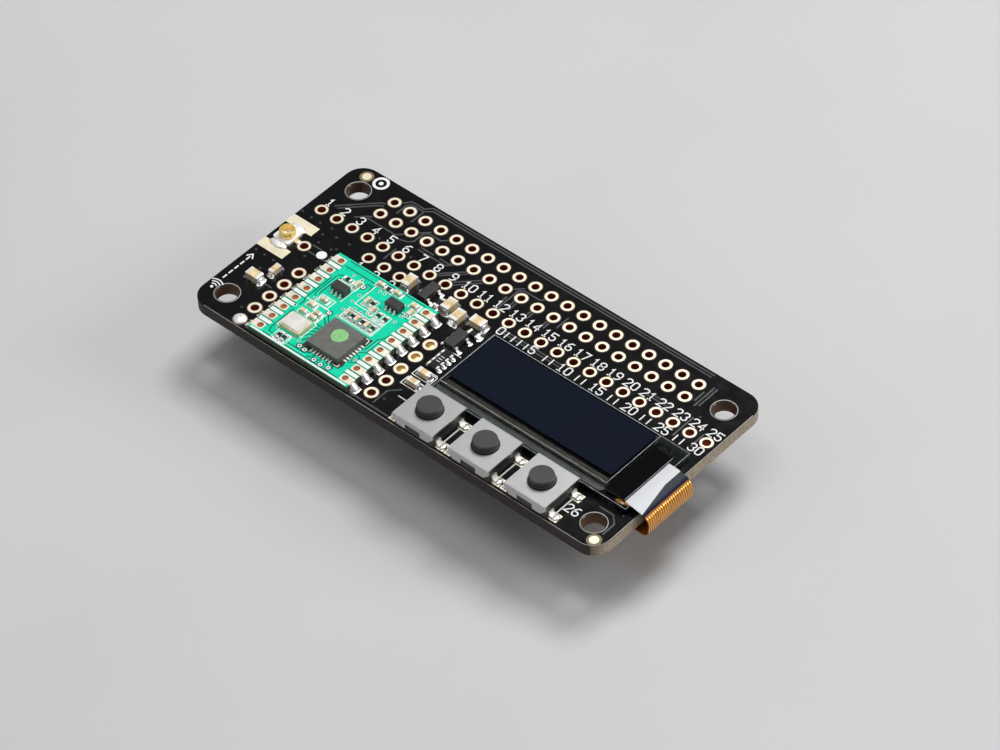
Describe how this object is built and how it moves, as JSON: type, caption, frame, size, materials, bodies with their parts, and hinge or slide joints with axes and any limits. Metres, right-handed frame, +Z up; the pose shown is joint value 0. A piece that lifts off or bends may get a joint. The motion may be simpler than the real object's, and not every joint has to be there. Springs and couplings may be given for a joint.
{
  "type": "radio and display add-on board",
  "caption": "Rectangular circuit board with a castellated radio module, a glass display on a folded flexible tail, push buttons along one edge and a pin-header socket underneath.",
  "frame": {"origin": "centre of the four mounting holes, on the underside of the circuit board", "axes": "+X along the board towards the display's flexible tail, +Y towards the pin-header edge, +Z up out of the component side"},
  "size_m": [0.066, 0.0302, 0.0132],
  "materials": {
    "solder_mask": "black solder mask over glass-fibre laminate",
    "gold_plating": "pale immersion-gold plating",
    "solder": "bright reflowed solder",
    "tin_plate": "satin tin plating",
    "socket_moulding": "black glass-filled moulding",
    "module_mask": "sea-green solder mask",
    "chip_moulding": "dark grey moulding compound",
    "small_chip_moulding": "near-black moulding compound",
    "capacitor_ceramic": "fired tan ceramic",
    "resistor_glaze": "black overglaze",
    "crystal_ceramic": "cream ceramic",
    "lid_metal": "satin plated lid",
    "connector_moulding": "white liquid-crystal polymer",
    "gold_shell": "bright gold flash",
    "foam": "black adhesive foam tape",
    "display_glass": "clear cut plate glass",
    "polarizer_film": "blue-black glossy film",
    "black_resin": "glossy black resin",
    "silicon": "polished silicon",
    "polyimide": "amber polyimide with copper tracks",
    "spring_steel": "stamped stainless steel",
    "button_moulding": "black heat-resistant moulding",
    "plunger_moulding": "dark grey plunger"
  },
  "bodies": {
    "board": {"board_laminate": "solder_mask", "header_hole_plating": "gold_plating", "breakout_hole_plating": "gold_plating", "column_hole_plating": "gold_plating", "component_lands": "gold_plating", "underside_lands": "gold_plating", "fiducial_dots": "gold_plating", "header_socket_body": "socket_moulding", "header_socket_contacts": "gold_shell", "radio_module_board": "module_mask", "radio_module_pads": "gold_plating", "radio_module_solder": "solder", "radio_chip_body": "chip_moulding", "radio_chip_pins": "tin_plate", "crystal_base": "crystal_ceramic", "crystal_lid": "lid_metal", "antenna_switch_bodies": "small_chip_moulding", "antenna_switch_leads": "tin_plate", "module_capacitor_bodies": "capacitor_ceramic", "module_coil_bodies": "resistor_glaze", "module_chip_ends": "tin_plate", "antenna_connector_base": "connector_moulding", "antenna_connector_shell": "gold_shell", "antenna_connector_pin": "gold_shell", "capacitor_bodies": "capacitor_ceramic", "capacitor_ends": "tin_plate", "resistor_bodies": "resistor_glaze", "resistor_ends": "tin_plate", "component_solder": "solder", "resistor_array_body": "resistor_glaze", "resistor_array_ends": "tin_plate", "transistor_body": "small_chip_moulding", "transistor_leads": "tin_plate", "regulator_body": "small_chip_moulding", "regulator_leads": "tin_plate", "display_foam_tape": "foam", "display_base_glass": "display_glass", "display_cap_glass": "display_glass", "display_polarizer": "polarizer_film", "display_driver_resin": "black_resin", "display_driver_die": "silicon", "display_flex_tail": "polyimide", "display_tail_solder": "solder", "button_1_base": "button_moulding", "button_1_cover": "spring_steel", "button_1_leads": "tin_plate", "button_1_dome": "spring_steel", "button_2_base": "button_moulding", "button_2_cover": "spring_steel", "button_2_leads": "tin_plate", "button_2_dome": "spring_steel", "button_3_base": "button_moulding", "button_3_cover": "spring_steel", "button_3_leads": "tin_plate", "button_3_dome": "spring_steel"},
    "button_1": {"button_1_plunger": "plunger_moulding"},
    "button_2": {"button_2_plunger": "plunger_moulding"},
    "button_3": {"button_3_plunger": "plunger_moulding"}
  },
  "joints": [
    {"name": "button_1_press", "type": "slide", "parent": "board", "child": "button_1", "axis": [0, 0, -1], "range_m": [0, 0.00025], "stiffness_N_per_m": 6400, "deforming": ["button_1_dome"]},
    {"name": "button_2_press", "type": "slide", "parent": "board", "child": "button_2", "axis": [0, 0, -1], "range_m": [0, 0.00025], "stiffness_N_per_m": 6400, "deforming": ["button_2_dome"]},
    {"name": "button_3_press", "type": "slide", "parent": "board", "child": "button_3", "axis": [0, 0, -1], "range_m": [0, 0.00025], "stiffness_N_per_m": 6400, "deforming": ["button_3_dome"]}
  ]
}
